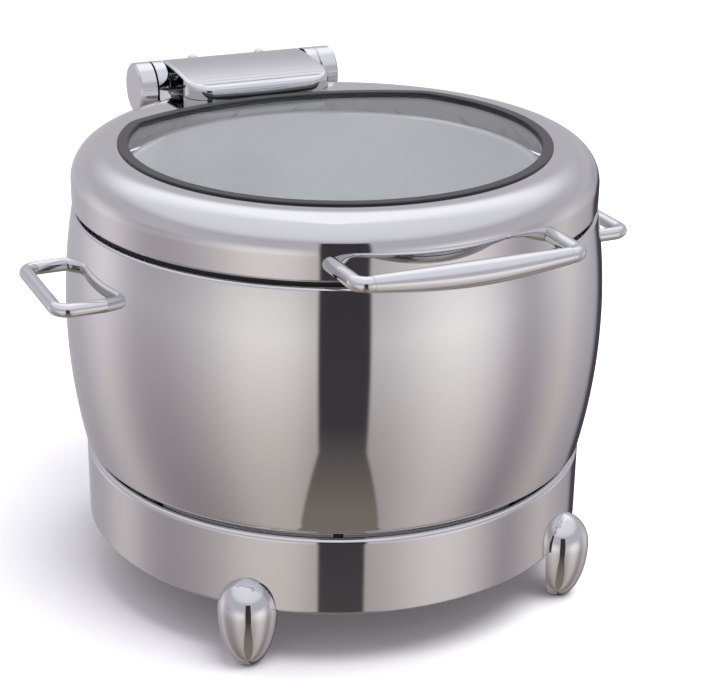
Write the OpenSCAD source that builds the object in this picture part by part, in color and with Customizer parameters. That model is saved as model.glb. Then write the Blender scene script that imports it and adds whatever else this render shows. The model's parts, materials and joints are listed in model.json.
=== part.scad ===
// Round soup kettle for a buffet: a barrel body with a water pan and a soup pot,
// on a loose stand ring with four egg-shaped feet, under a hinged lid with a window.
// Origin: centre of the circle through the feet, on the table. +Z up, the front is -Y.

/* [Stand] */
// Height of the stand ring's lower edge above the table
ring_lift = 43; // [30:1:70]
// Height of the stand ring
ring_h = 59; // [40:1:90]
// Sheet thickness of the stand ring
ring_wall = 1.5; // [1:0.1:3]
// Radius of the ring's rounded top edge
ring_edge_r = 4; // [3:0.5:6]
// How far the ring stands proud of the body's lower edge
ring_step = 0.3; // [0:0.1:3]
// Width of the ledge that carries the kettle
ledge_w = 16; // [12:1:24]
// Width of the flange turned in at the ring's lower edge
hem_w = 10; // [8:1:14]
// Height of the rest pads above the ledge
pad_h = 1.8; // [1:0.1:4]
// Radius of one rest pad
pad_r = 3.5; // [2:0.5:5]
// Number of rest pads
pad_count = 8; // [4:1:16]

/* [Feet] */
// Radius of a foot at its belly
foot_r = 21; // [15:0.5:26]
// Height of a foot
foot_h = 66; // [60:1:100]
// Height of the foot's belly above the table
foot_belly_z = 42; // [30:1:50]
// Radius of the foot's flat bottom
foot_bottom_r = 8.8; // [7:0.1:12]
// Angle of each front foot from the front, and of each rear foot from the back
foot_angle = 42; // [35:1:55]
// Distance from the foot's upright axis back to its flat rear face
foot_back = 4.5; // [3:0.5:8]
// Height of the rubber under the foot
foot_rubber_h = 1.5; // [1:0.1:3]
// Radius of the rubber under the foot
foot_rubber_r = 7; // [5:0.1:8]

/* [Body] */
// Largest radius of the barrel body
body_r = 200.3; // [160:0.1:245]
// Height of the barrel body
body_h = 182; // [140:1:230]
// Height of the widest line above the body's bottom
body_belly_h = 101; // [80:1:120]
// Radius of the barrel's side curve
body_curve_r = 440; // [380:10:800]
// Sheet thickness of the body
body_wall = 1.2; // [0.8:0.1:2]
// Radius of the body's lower corner
body_foot_r = 8; // [5:0.5:14]
// Radius of the body's rounded top edge
body_edge_r = 4; // [3:0.5:6]

/* [Water pan and pot] */
// Radial gap from the body's top edge to the water pan's wall
pan_gap = 21.6; // [18:0.5:30]
// Sheet thickness of the water pan, and of the ring that holds the pot
pan_wall = 1; // [0.8:0.1:2]
// Radial gap from the water pan's wall to the pot's wall, filled by water
water_gap = 25; // [15:1:40]
// Sheet thickness of the pot
pot_wall = 1.2; // [0.8:0.1:2]
// Gap below the pot, filled by water
pot_floor_gap = 8; // [6:1:20]
// Radius of the pot's rolled rim
pot_bead_r = 3; // [2:0.5:4]
// Height of the pot's rim above the body's top
pot_rise = 23; // [18:1:26]
// Inner radius of the pot's lower corner
pot_corner_r = 20; // [10:1:30]
// Thickness of the heat-spreading base
base_t = 4; // [3:0.5:8]

/* [Lid] */
// Height of the lid ring from its lower edge to its top
lid_h = 41.3; // [38:0.1:55]
// Height of the dark gap between body and lid, filled by the rim seal
lid_gap = 3.2; // [2.4:0.1:5]
// How far the lid's side stays inside the body's top edge
lid_step = 0.9; // [0:0.1:3]
// Radius of the lid's rounded shoulder
lid_round_r = 24; // [18:0.5:30]
// Radius of the lid's curled lower edge
lid_curl_r = 5; // [3:0.5:8]
// Sheet thickness of the lid
lid_wall = 1.2; // [0.8:0.1:2]
// Width of the polished ring around the window
lid_top_w = 34.2; // [30:0.1:45]
// Sheet thickness of the lid's inner ring
liner_wall = 0.8; // [0.6:0.1:1.5]

/* [Window] */
// Radius of the flatter rear edge of the window
win_rear_r = 244; // [200:1:400]
// Radius of the window's two rear corners
win_corner_r = 30; // [15:1:40]
// Width of the rubber around the pane
gasket_w = 8; // [7:0.5:12]
// Height of the gasket's top lip above the lid
gasket_lip_h = 1.4; // [1:0.1:3]
// Thickness of the glass pane
glass_t = 4; // [3:0.5:6]

/* [Hinge] */
// Radius of the hinge barrel
barrel_r = 20.5; // [16:0.5:26]
// Length over the hinge's two end caps
hinge_w = 172.6; // [150:0.1:200]
// Gap between the hinge barrel and the lid's rounded shoulder
hinge_gap = 0.6; // [0.5:0.1:3]
// How far the hinge axis lies below the lid's top
hinge_drop = 3.2; // [0:0.1:8]
// Length of one end cap
cap_w = 15.5; // [10:0.5:20]
// Thickness of one upright ear of the bracket
ear_w = 9; // [6:0.5:12]
// Width of one friction collar
collar_w = 12; // [8:0.5:16]
// Radius of the hinge pin
pin_r = 5; // [4:0.5:7]
// Distance from the hinge axis forward to the cover's front lip
cover_reach = 72.7; // [66:0.1:80]
// Height of the cover's rounded front lip
cover_lip_h = 10; // [8:0.5:14]
// Radius of the cover's front corners in plan
cover_corner_r = 22; // [12:1:30]
// Sheet thickness of the cover
cover_wall = 1.5; // [1:0.1:2.5]
// Thickness of the bracket's saddle on the body
saddle_t = 4; // [3:0.5:6]

/* [Side handles] */
// Radius of the handle rod
rod_r = 5; // [4:0.5:7]
// Half the spacing of a handle's two arms
side_half = 46; // [35:0.5:60]
// Distance from the body's side out to the grip's middle line
side_reach = 25; // [18:0.5:40]
// Height of the handles above the body's bottom
side_z = 141; // [100:1:150]
// Bend radius of the rod's middle line
side_bend_r = 10; // [8:0.5:14]

/* [Lid handle] */
// Radius of the lid handle's arms
arm_r = 5.8; // [4:0.1:7]
// Half the spacing of the lid handle's two arms
grip_half = 80; // [60:0.5:100]
// Distance from the lid's side out to the grip's middle line
grip_reach = 25.3; // [20:0.1:40]
// Radius of the grip at its middle
grip_mid_r = 8.6; // [6:0.1:10]
// Height of the handle above the lid's lower edge
grip_z = 12.6; // [10:0.1:18]
// Bend radius at the grip's ends
grip_bend_r = 8; // [7:0.5:12]

/* [Fasteners and fits] */
// Radius of the screws' shanks
screw_r = 2.5; // [2:0.5:3]
// Radial clearance of a screw in a plain hole
screw_clear = 0.3; // [0.2:0.05:0.6]
// Radial clearance of the pin in what turns on it
pin_clear = 0.05; // [0.02:0.01:0.1]
// Gap between pieces that move past each other
move_gap = 0.5; // [0.3:0.1:1]
// Gap between the closed lid and its seal, and between the kettle and its pads
rest_gap = 0.3; // [0.2:0.05:0.5]

/* [Hidden] */
$fn = 96;
CURVE_FN = 360;
BIG = 600;

// a derived size, rounded to a hundredth of a millimetre
function snap(size) = round(size * 100) / 100;

// radius of the barrel's outer side at height z
function barrel_at(z) =
    snap(body_r - body_curve_r + sqrt(pow(body_curve_r, 2) - pow(z - belly_z, 2)));

// heights, from the table up
ring_top = ring_lift + ring_h;
body_z = ring_top + pad_h + rest_gap;
belly_z = body_z + body_belly_h;
body_top = body_z + body_h;
lid_z = body_top + lid_gap;
lid_top = lid_z + lid_h;
gasket_top = lid_top + gasket_lip_h;
hinge_z = lid_top - hinge_drop;

// radii
body_top_r = barrel_at(body_top - body_edge_r);
body_low_r = barrel_at(body_z + body_foot_r);
ring_r = barrel_at(body_z) + ring_step;
ledge_r = ring_r - ring_wall;
pan_r = body_top_r - pan_gap;
pot_r = pan_r - water_gap;
lid_r = body_top_r - lid_step;
win_r = lid_r - lid_top_w;
hinge_y = snap(lid_r - lid_round_r
    + sqrt(pow(lid_round_r + barrel_r + hinge_gap, 2) - pow(lid_round_r - hinge_drop, 2)));

// stations along the hinge, from its middle out
ear_out = hinge_w / 2 - cap_w;
ear_in = ear_out - ear_w;
barrel_half = ear_in - move_gap;
collar_in = barrel_half - collar_w;

// ---- shared profiles -------------------------------------------------------

// a band of a round wall in profile, kept between two radii and two heights
module arc_band(c_r, c_z, outer, wall, r0, r1, z0, z1, fn = 96) {
    intersection() {
        translate([c_r, c_z]) difference() {
            circle(r = outer, $fn = fn);
            circle(r = outer - wall, $fn = fn);
        }
        translate([r0, z0]) square([r1 - r0, z1 - z0]);
    }
}

// points on an arc in profile, from angle a0 to a1
function arc_points(y, z, r, a0, a1, n = 12) =
    [for (i = [0 : n]) let (a = a0 + (a1 - a0) * i / n) [y + r * cos(a), z + r * sin(a)]];

// a rectangle in profile, given by its corners
module bar2d(r0, r1, z0, z1) {
    translate([r0, z0]) square([r1 - r0, z1 - z0]);
}

// a flat ring
module flat_ring(outer, inner, z0, z1) {
    translate([0, 0, z0]) difference() {
        cylinder(r = outer, h = z1 - z0, $fn = CURVE_FN);
        translate([0, 0, -1]) cylinder(r = inner, h = z1 - z0 + 2, $fn = CURVE_FN);
    }
}

// a cylinder along X from x0 to x1 about the hinge axis
module on_axis(r, x0, x1) {
    translate([x0, hinge_y, hinge_z]) rotate([0, 90, 0]) cylinder(r = r, h = x1 - x0);
}

// what follows, on the right and mirrored on the left
module both_sides() {
    children();
    mirror([1, 0, 0]) children();
}

// ---- stand -----------------------------------------------------------------

// corners where the ring's wall turns in, at the top and at the hem
ring_edge_z = ring_top - ring_edge_r;
hem_r = ring_wall + 1;

module stand_ring() {
    color("gainsboro") difference() {
        rotate_extrude($fn = CURVE_FN) {
            bar2d(ring_r - ring_wall, ring_r, ring_lift + hem_r, ring_edge_z);
            arc_band(ring_r - ring_edge_r, ring_edge_z, ring_edge_r, ring_wall,
                ring_r - ring_edge_r, ring_r, ring_edge_z, ring_top);
            bar2d(ledge_r - ledge_w + 4, ring_r - ring_edge_r, ring_top - ring_wall, ring_top);
            arc_band(ring_r - hem_r, ring_lift + hem_r, hem_r, ring_wall,
                ring_r - hem_r, ring_r, ring_lift, ring_lift + hem_r);
            bar2d(ring_r - hem_w, ring_r - hem_r, ring_lift, ring_lift + ring_wall);
        }
        foot_places() foot_screw_holes();
    }
}

// the formed ring under the ledge, which stiffens it
module ledge_ring() {
    low = ring_top - ring_wall - 14;
    color("silver") rotate_extrude($fn = CURVE_FN) {
        bar2d(ledge_r - ledge_w, ledge_r - ledge_w + ring_wall, low + ring_wall, ring_top - ring_wall);
        bar2d(ledge_r - ledge_w, ledge_r, low, low + ring_wall);
    }
}

module rest_pads() {
    r = ledge_r - ledge_w / 2;
    color("dimgray") for (i = [0 : pad_count - 1])
        rotate([0, 0, (i + 0.5) * 360 / pad_count])
            translate([r, 0, ring_top]) cylinder(r = pad_r, h = pad_h);
}

// ---- feet ------------------------------------------------------------------

foot_axis_r = ring_r - 1;
foot_screw_zs = [ring_lift + 7, ring_lift + 16.5];
FOOT_ANGLES = [-foot_angle, foot_angle, 180 + foot_angle, 180 - foot_angle];

// a foot's place: its own frame has +Y outwards and its upright axis at the origin
module foot_place(angle) {
    rotate([0, 0, 180 + angle]) translate([0, foot_axis_r, 0]) children();
}

module foot_places() {
    for (angle = FOOT_ANGLES) foot_place(angle) children();
}

// radius of the egg at height z: a dome above the belly, a longer curve below it
function egg_low() = (foot_belly_z - foot_rubber_h)
    / sqrt(1 - pow(foot_bottom_r / foot_r, 2));
function egg_at(z) = z < foot_belly_z
    ? foot_r * sqrt(1 - pow((foot_belly_z - z) / egg_low(), 2))
    : foot_r * sqrt(max(0, 1 - pow((z - foot_belly_z) / (foot_h - foot_belly_z), 2)));

EGG_STEPS = 16;
egg_low_points = [for (i = [0 : EGG_STEPS])
    let (z = foot_rubber_h + (foot_belly_z - foot_rubber_h) * i / EGG_STEPS) [egg_at(z), z]];
egg_top_points = [for (i = [1 : EGG_STEPS])
    let (a = 90 * i / EGG_STEPS)
        [foot_r * cos(a) * (i < EGG_STEPS ? 1 : 0),
            foot_belly_z + (foot_h - foot_belly_z) * sin(a)]];

module foot_screw_holes() {
    for (z = foot_screw_zs)
        translate([0, -12, z]) rotate([-90, 0, 0]) cylinder(r = screw_r + screw_clear, h = 14);
}

module foot(angle) {
    color("gainsboro") foot_place(angle) difference() {
        rotate_extrude() polygon(concat([[0, foot_rubber_h]], egg_low_points, egg_top_points));
        translate([-foot_r, -2 * foot_r - foot_back, 0]) cube([2 * foot_r, 2 * foot_r, foot_h]);
        translate([0, -foot_axis_r, ring_lift]) cylinder(r = ring_r, h = foot_h, $fn = CURVE_FN);
        cylinder(r = foot_rubber_r, h = 2 * foot_rubber_h);
        for (z = foot_screw_zs)
            translate([0, -1, z]) rotate([-90, 0, 0]) cylinder(r = screw_r, h = 12);
    }
}

module foot_front_left() { foot(-foot_angle); }
module foot_front_right() { foot(foot_angle); }
module foot_rear_left() { foot(180 + foot_angle); }
module foot_rear_right() { foot(180 - foot_angle); }

module foot_rubbers() {
    color("dimgray") foot_places() cylinder(r = foot_rubber_r, h = 2 * foot_rubber_h);
}

// screws from inside the ring into the feet
module foot_screws() {
    head_h = 3;
    inner = ring_wall - 0.9;
    color("silver") foot_places() for (z = foot_screw_zs)
        translate([0, -inner - head_h, z]) rotate([-90, 0, 0]) {
            cylinder(r = 4.2, h = head_h);
            cylinder(r = screw_r, h = head_h + inner + 9);
        }
}

// ---- body ------------------------------------------------------------------

handle_z = body_z + side_z;

module body_shell() {
    c_r = body_r - body_curve_r;
    foot_c = body_low_r - body_foot_r;
    edge_c = body_top_r - body_edge_r;
    color("gainsboro") difference() {
        rotate_extrude($fn = CURVE_FN) {
            arc_band(c_r, belly_z, body_curve_r, body_wall, 100, body_r + 1,
                body_z + body_foot_r, body_top - body_edge_r, CURVE_FN * 2);
            arc_band(foot_c, body_z + body_foot_r, body_foot_r, body_wall,
                foot_c, body_low_r, body_z, body_z + body_foot_r);
            bar2d(base_r + rest_gap, foot_c, body_z, body_z + body_wall);
            arc_band(edge_c, body_top - body_edge_r, body_edge_r, body_wall,
                edge_c, body_top_r, body_top - body_edge_r, body_top);
            bar2d(pan_r + pan_wall + move_gap, edge_c, body_top - body_wall, body_top);
        }
        both_sides() side_handle_holes();
        bracket_holes();
    }
}

base_r = pan_r - 12;

// the sandwich base that spreads the heat, under the water pan
module base_plate() {
    color("silver") translate([0, 0, body_z]) cylinder(r = base_r, h = base_t, $fn = CURVE_FN);
}

pan_z = body_z + base_t;
pan_flange_r = body_top_r - body_edge_r - 5.6;

module water_pan() {
    corner = 10;
    color("silver") rotate_extrude($fn = CURVE_FN) {
        bar2d(0, pan_r + pan_wall - corner, pan_z, pan_z + pan_wall);
        arc_band(pan_r + pan_wall - corner, pan_z + corner, corner, pan_wall,
            pan_r + pan_wall - corner, pan_r + pan_wall, pan_z, pan_z + corner);
        bar2d(pan_r, pan_r + pan_wall, pan_z + corner, body_top + pan_wall);
        bar2d(pan_r, pan_flange_r, body_top, body_top + pan_wall);
    }
}

collar_in_r = pot_r + pot_wall + 1.8;
pot_bead_z = body_top + pot_rise - pot_bead_r;

// the ring that closes the water pan and carries the pot by its rim
module pot_ring() {
    z = body_top + pan_wall;
    color("silver") rotate_extrude($fn = CURVE_FN) {
        bar2d(collar_in_r, pan_flange_r - 2, z, z + pan_wall);
        bar2d(collar_in_r, collar_in_r + pan_wall, z, pot_bead_z - pot_bead_r - pot_wall / 2 + 0.05);
    }
}

module soup_pot() {
    outer = pot_r + pot_wall;
    floor_z = pan_z + pan_wall + pot_floor_gap;
    corner = pot_corner_r + pot_wall;
    bead_c = outer + pot_bead_r;
    color("silver") rotate_extrude($fn = CURVE_FN) {
        bar2d(0, outer - corner, floor_z, floor_z + pot_wall);
        arc_band(outer - corner, floor_z + corner, corner, pot_wall,
            outer - corner, outer, floor_z, floor_z + corner);
        bar2d(pot_r, outer, floor_z + corner, pot_bead_z);
        translate([bead_c - pot_wall / 2, pot_bead_z]) difference() {
            circle(r = pot_bead_r + pot_wall / 2);
            circle(r = pot_bead_r - pot_wall / 2);
        }
    }
}

seal_out = lid_r - lid_curl_r - 0.8;

module rim_seal() {
    color("dimgray") flat_ring(seal_out, pan_flange_r + 0.5, body_top, lid_z - rest_gap);
}

// ---- rods ------------------------------------------------------------------

// one half of a square-cornered rod in the plane z = 0: out along X at y = arm_y,
// round a corner at x = out_x, and along -Y to y = end_y
module bent_rod(x0, arm_y, out_x, end_y, bend, r) {
    translate([x0, arm_y, 0]) rotate([0, 90, 0]) cylinder(r = r, h = out_x - bend - x0);
    translate([out_x - bend, arm_y - bend, 0]) rotate_extrude(angle = 90)
        translate([bend, 0]) circle(r = r);
    translate([out_x, end_y, 0]) rotate([-90, 0, 0]) cylinder(r = r, h = arm_y - bend - end_y);
}

// ---- side handles ----------------------------------------------------------

side_x = body_r + side_reach;
root_x = snap(sqrt(pow(barrel_at(handle_z), 2) - pow(side_half, 2)));

// the barrel body's outer shape, filled, over the height of a rod
module barrel_slice() {
    half = rod_r + 1;
    translate([0, 0, handle_z - half]) cylinder(r1 = barrel_at(handle_z - half),
        r2 = barrel_at(handle_z + half), h = 2 * half, $fn = CURVE_FN);
}

// the rod starts inside the body's side and is cut to it; a stud goes on through the wall
module side_handle() {
    color("gainsboro") {
        difference() {
            translate([0, 0, handle_z]) for (half = [0, 1]) mirror([0, half, 0])
                bent_rod(root_x - 6, side_half, side_x, 0, side_bend_r, rod_r);
            barrel_slice();
        }
        side_studs(screw_r, root_x - 14, root_x + 3);
    }
}

// studs along X at the two roots of a handle, from x0 to x1
module side_studs(r, x0, x1) {
    for (y = [-side_half, side_half])
        translate([x0, y, handle_z]) rotate([0, 90, 0]) cylinder(r = r, h = x1 - x0);
}

module side_handle_holes() { side_studs(screw_r + screw_clear, root_x - 16, root_x + 8); }
module side_handle_right() { side_handle(); }
module side_handle_left() { mirror([1, 0, 0]) side_handle(); }

// the flat seat inside the wall: its innermost point under a washer
washer_r = 7;
washer_t = 1.2;
nut_r = 4.6;
nut_h = 4;
side_seat_x = sqrt(pow(barrel_at(handle_z + washer_r) - body_wall, 2)
    - pow(side_half + washer_r, 2));

module drilled_disc(r, h, hole) {
    rotate([0, 90, 0]) difference() {
        cylinder(r = r, h = h);
        translate([0, 0, -1]) cylinder(r = hole, h = h + 2);
    }
}

module side_handle_washers() {
    color("silver") both_sides() for (y = [-side_half, side_half])
        translate([side_seat_x - washer_t, y, handle_z])
            drilled_disc(washer_r, washer_t, screw_r + screw_clear);
}

module side_handle_nuts() {
    color("silver") both_sides() for (y = [-side_half, side_half])
        translate([side_seat_x - washer_t - nut_h, y, handle_z]) rotate([0, 90, 0]) difference() {
            cylinder(r = nut_r, h = nut_h, $fn = 6);
            translate([0, 0, -1]) cylinder(r = screw_r, h = nut_h + 2);
        }
}

// ---- hinge bracket on the body ---------------------------------------------

saddle_low = body_top - 58;
saddle_high = body_top - 8;
saddle_half = ear_out;
bracket_zs = [saddle_low + 12, saddle_high - 14];
bracket_x = 36;

module bracket_places() {
    for (x = [-bracket_x, bracket_x]) for (z = bracket_zs)
        translate([x, 0, z]) rotate([-90, 0, 0]) children();
}

module bracket_holes() {
    bracket_places() translate([0, 0, body_r - 40]) cylinder(r = screw_r + screw_clear, h = 60);
}

// one upright ear: a round eye at the axis on a leg with a round toe against the body
module ear() {
    toe_r = 8;
    toe_y = snap(sqrt(pow(barrel_at(saddle_low), 2) - pow(ear_out, 2))) + saddle_t + 2;
    toe_z = saddle_low + toe_r;
    translate([ear_in, 0, 0]) rotate([90, 0, 90]) linear_extrude(height = ear_w)
        polygon(concat(arc_points(hinge_y, hinge_z, barrel_r, 0, 180, 36),
            arc_points(toe_y, toe_z, toe_r, 180, 360)));
}

module hinge_bracket() {
    color("gainsboro") difference() {
        union() {
            intersection() {
                rotate_extrude($fn = CURVE_FN)
                    arc_band(body_r - body_curve_r, belly_z, body_curve_r + saddle_t, saddle_t,
                        100, body_r + saddle_t + 1, saddle_low, saddle_high, CURVE_FN * 2);
                translate([-saddle_half, 0, 0]) cube([2 * saddle_half, BIG, BIG]);
            }
            both_sides() ear();
        }
        rotate_extrude($fn = CURVE_FN) intersection() {
            translate([body_r - body_curve_r, belly_z]) circle(r = body_curve_r, $fn = CURVE_FN * 2);
            bar2d(0, body_r + 1, saddle_low - 20, body_top + 1);
        }
        translate([0, 0, body_top]) cylinder(r = lid_r + 1.5, h = lid_h, $fn = CURVE_FN);
        bracket_holes();
        on_axis(bush_r, -BIG, BIG);
    }
}

// the doubling plate inside the wall, flat where the nuts sit
backing_y = sqrt(pow(barrel_at(saddle_high) - body_wall, 2) - pow(bracket_x + 10, 2));

module bracket_backing() {
    color("silver") difference() {
        translate([-bracket_x - 10, backing_y - 2.5, saddle_low + 2])
            cube([2 * bracket_x + 20, 2, saddle_high - saddle_low - 6]);
        bracket_holes();
    }
}

// how far back a screw at height z meets the saddle's outer face, on its inboard side
function screw_seat(z) = snap(sqrt(pow(barrel_at(z) + saddle_t, 2) - pow(bracket_x - 4.6, 2)));

module bracket_screws() {
    head_r = 4.6;
    color("silver") for (x = [-bracket_x, bracket_x]) for (z = bracket_zs)
        translate([x, 0, z]) rotate([-90, 0, 0]) {
            translate([0, 0, backing_y - 10])
                cylinder(r = screw_r, h = screw_seat(z) - backing_y + 11);
            translate([0, 0, screw_seat(z)]) intersection() {
                cylinder(r = head_r, h = 3);
                translate([0, 0, -3]) sphere(r = 6.2);
            }
        }
}

module bracket_nuts() {
    color("silver") bracket_places() translate([0, 0, backing_y - 2.5 - nut_h]) difference() {
        cylinder(r = nut_r, h = nut_h, $fn = 6);
        translate([0, 0, -1]) cylinder(r = screw_r, h = nut_h + 2);
    }
}

// ---- hinge pin and caps ----------------------------------------------------

bush_r = pin_r + 2;
pin_end = hinge_w / 2 - 4;

module hinge_pin() {
    color("silver") on_axis(pin_r, -pin_end, pin_end);
}

module pin_bushes() {
    color("goldenrod") both_sides() difference() {
        on_axis(bush_r, ear_in, ear_out);
        on_axis(pin_r, 0, BIG);
    }
}

// a closed cup over the pin's end, with a bevelled outer edge
module end_cap() {
    bevel = 2.5;
    color("gainsboro") translate([0, hinge_y, hinge_z]) rotate([0, 90, 0]) rotate_extrude()
        polygon([[0, pin_end + 0.5], [0, hinge_w / 2], [barrel_r - bevel, hinge_w / 2],
            [barrel_r, hinge_w / 2 - bevel], [barrel_r, ear_out], [pin_r, ear_out],
            [pin_r, pin_end + 0.5]]);
}

module end_cap_right() { end_cap(); }
module end_cap_left() { mirror([1, 0, 0]) end_cap(); }

// ---- lid -------------------------------------------------------------------

// centre of the window's rear arc, and of its corner arcs
win_rear_y = hinge_y - cover_reach - 3.3;
rear_c = win_rear_r - win_rear_y;
corner_y = (pow(win_rear_r - win_corner_r, 2) - pow(win_r - win_corner_r, 2) - pow(rear_c, 2))
    / (2 * rear_c);
corner_x = sqrt(pow(win_r - win_corner_r, 2) - pow(corner_y, 2));
corner_c = [corner_x, corner_y];
to_side = corner_c / norm(corner_c);
to_rear = (corner_c + [0, rear_c]) / norm(corner_c + [0, rear_c]);

// the wedge of a rear corner, between the radii where its arc begins and ends
module corner_wedge(reach) {
    polygon([corner_c, corner_c + reach * to_side, corner_c + 1.5 * reach * (to_side + to_rear) / 2,
        corner_c + reach * to_rear]);
}

// the window's outline in plan, d inside the gasket's outer edge:
// a circle with a flatter rear arc and rounded corners between them
module window(d) {
    difference() {
        intersection() {
            circle(r = win_r - d, $fn = CURVE_FN);
            translate([0, -rear_c]) circle(r = win_rear_r - d, $fn = CURVE_FN);
        }
        both_sides() corner_wedge(2 * win_corner_r);
    }
    both_sides() intersection() {
        translate(corner_c) circle(r = win_corner_r - d, $fn = CURVE_FN);
        corner_wedge(2 * win_corner_r);
    }
}

module window_ring(d0, d1, z0, z1) {
    translate([0, 0, z0]) linear_extrude(height = z1 - z0) difference() {
        window(d0);
        window(d1);
    }
}

sheet_z = lid_top - lid_wall;
hole_d = gasket_w / 2;
handle_lid_z = lid_z + grip_z;

module lid_shell() {
    curl_c = lid_r - lid_curl_r;
    round_c = lid_r - lid_round_r;
    round_z = lid_top - lid_round_r;
    color("gainsboro") difference() {
        rotate_extrude($fn = CURVE_FN) {
            bar2d(curl_c - 0.6, curl_c, lid_z, lid_z + lid_wall);
            arc_band(curl_c, lid_z + lid_curl_r, lid_curl_r, lid_wall,
                curl_c, lid_r, lid_z, lid_z + lid_curl_r);
            bar2d(lid_r - lid_wall, lid_r, lid_z + lid_curl_r, round_z);
            arc_band(round_c, round_z, lid_round_r, lid_wall, round_c, lid_r, round_z, lid_top);
            bar2d(win_rear_y - gasket_w - 10, round_c, sheet_z, lid_top);
        }
        translate([0, 0, sheet_z - 1]) linear_extrude(height = lid_wall + 2) window(hole_d);
        both_sides() grip_studs(screw_r + screw_clear, 30, -30);
        arm_screw_places() translate([0, 0, -20]) cylinder(r = screw_r + screw_clear, h = 40);
    }
}

// the sloping inner ring that stiffens the lid and guides drops back to the pot
module lid_liner() {
    low_r = lid_r - lid_wall - 7.5;
    low_z = lid_z + 3;
    high_r = pot_r + pot_wall + 2 * pot_bead_r + 6;
    high_z = sheet_z - 6;
    color("silver") rotate_extrude($fn = CURVE_FN) {
        polygon([[low_r, low_z], [low_r + liner_wall, low_z],
            [high_r + liner_wall, high_z], [high_r, high_z]]);
        bar2d(low_r, lid_r - lid_wall - lid_curl_r / 2, low_z, low_z + liner_wall);
        bar2d(high_r, high_r + 4, high_z, high_z + liner_wall);
    }
}

glass_top = gasket_top - 2.4;
glass_z = glass_top - glass_t;

module glass_pane() {
    color([0.8, 0.87, 0.88, 0.35]) translate([0, 0, glass_z]) linear_extrude(height = glass_t)
        window(hole_d + 1);
}

// rubber with an outer groove for the lid's sheet and an inner groove for the pane
module glass_gasket() {
    lip = 1.6;
    color("black") {
        window_ring(0, gasket_w, lid_top, gasket_top);
        window_ring(hole_d, hole_d + 1, glass_z - lip, lid_top);
        window_ring(hole_d - 3, hole_d, sheet_z - lip, sheet_z);
        window_ring(hole_d + 1, gasket_w, glass_top, lid_top);
        window_ring(hole_d + 1, gasket_w, glass_z - lip, glass_z);
    }
}

// ---- moving half of the hinge ----------------------------------------------

damper_r = 15;
tube_r = barrel_r - cover_wall;

module lid_barrel() {
    color("gainsboro") difference() {
        on_axis(tube_r, -collar_in, collar_in);
        on_axis(damper_r, -BIG, BIG);
        cover_screw_places() translate([0, 0, -10]) cylinder(r = screw_r, h = 20);
    }
}

// plain bearings that turn on the pin and give the lid its friction
module friction_collars() {
    color("gainsboro") both_sides() difference() {
        on_axis(tube_r, collar_in, barrel_half);
        on_axis(pin_r + pin_clear, 0, BIG);
    }
}

module hinge_damper() {
    color("slategray") difference() {
        on_axis(damper_r, -collar_in, collar_in);
        on_axis(pin_r + pin_clear, -BIG, BIG);
    }
}

arm_half = 46;
arm_front_y = hinge_y - cover_reach + 14;
arm_t = 5;
arm_screw_ys = [arm_front_y + 4.5, arm_front_y + 13.2];

module arm_screw_places() {
    for (x = [-24, 24]) for (y = arm_screw_ys) translate([x, y, lid_top]) children();
}

// the cast arm under the cover, which carries the lid from the barrel
module lid_arm() {
    nose_z = lid_top + arm_t;
    color("silver") difference() {
        translate([-arm_half, 0, 0]) rotate([90, 0, 90]) linear_extrude(height = 2 * arm_half)
            polygon([[arm_front_y, lid_top], [arm_front_y, nose_z],
                [hinge_y - tube_r / 2, nose_z], [hinge_y, hinge_z],
                [hinge_y - tube_r / 2, lid_top], [lid_r - lid_round_r, lid_top]]);
        on_axis(tube_r, -BIG, BIG);
        arm_screw_places() translate([0, 0, -1]) cylinder(r = screw_r + screw_clear, h = 20);
    }
}

module arm_screws() {
    color("silver") arm_screw_places() {
        translate([0, 0, arm_t]) cylinder(r = 4.2, h = 2);
        translate([0, 0, -lid_wall - nut_h]) cylinder(r = screw_r, h = arm_t + lid_wall + nut_h + 1);
    }
}

module arm_nuts() {
    color("silver") arm_screw_places() translate([0, 0, -lid_wall - nut_h]) difference() {
        cylinder(r = nut_r, h = nut_h, $fn = 6);
        translate([0, 0, -1]) cylinder(r = screw_r, h = nut_h + 2);
    }
}

// side view of the cover's outside: over the barrel, then forward down to a round lip
cover_front_y = hinge_y - cover_reach;
cover_nose_z = lid_top + cover_lip_h;

lip_r = cover_lip_h - 1.5;
lip_y = cover_front_y + lip_r;
lip_z = cover_nose_z - lip_r;
cover_low_z = lid_top - 4;

module cover_outside() {
    polygon(concat(arc_points(hinge_y, hinge_z, barrel_r, 0, 90, 24),
        arc_points(lip_y, lip_z, lip_r, 90, 180),
        [[cover_front_y, cover_low_z], [hinge_y + barrel_r, cover_low_z]]));
}

module cover_inside() {
    polygon(concat([[hinge_y, hinge_z + tube_r - 0.5]],
        arc_points(lip_y, lip_z, lip_r - cover_wall, 90, 180),
        [[cover_front_y + cover_wall, cover_low_z], [hinge_y, cover_low_z]]));
}

// plan of the cover, d inside its edge
module cover_plan(d) {
    half = barrel_half - d;
    r = cover_corner_r - d;
    translate([-half, cover_front_y + d + r]) square([2 * half, BIG]);
    translate([-half + r, cover_front_y + d]) square([2 * half - 2 * r, r]);
    both_sides() translate([half - r, cover_front_y + d + r]) intersection() {
        circle(r = r);
        translate([0, -r]) square([r, r]);
    }
}

// a side view run along X, kept inside a plan that is d within the cover's edge
module cover_block(d) {
    intersection() {
        translate([-BIG / 2, 0, 0]) rotate([90, 0, 90]) linear_extrude(height = BIG) children();
        translate([0, 0, lid_top]) linear_extrude(height = 60) cover_plan(d);
    }
}

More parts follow.
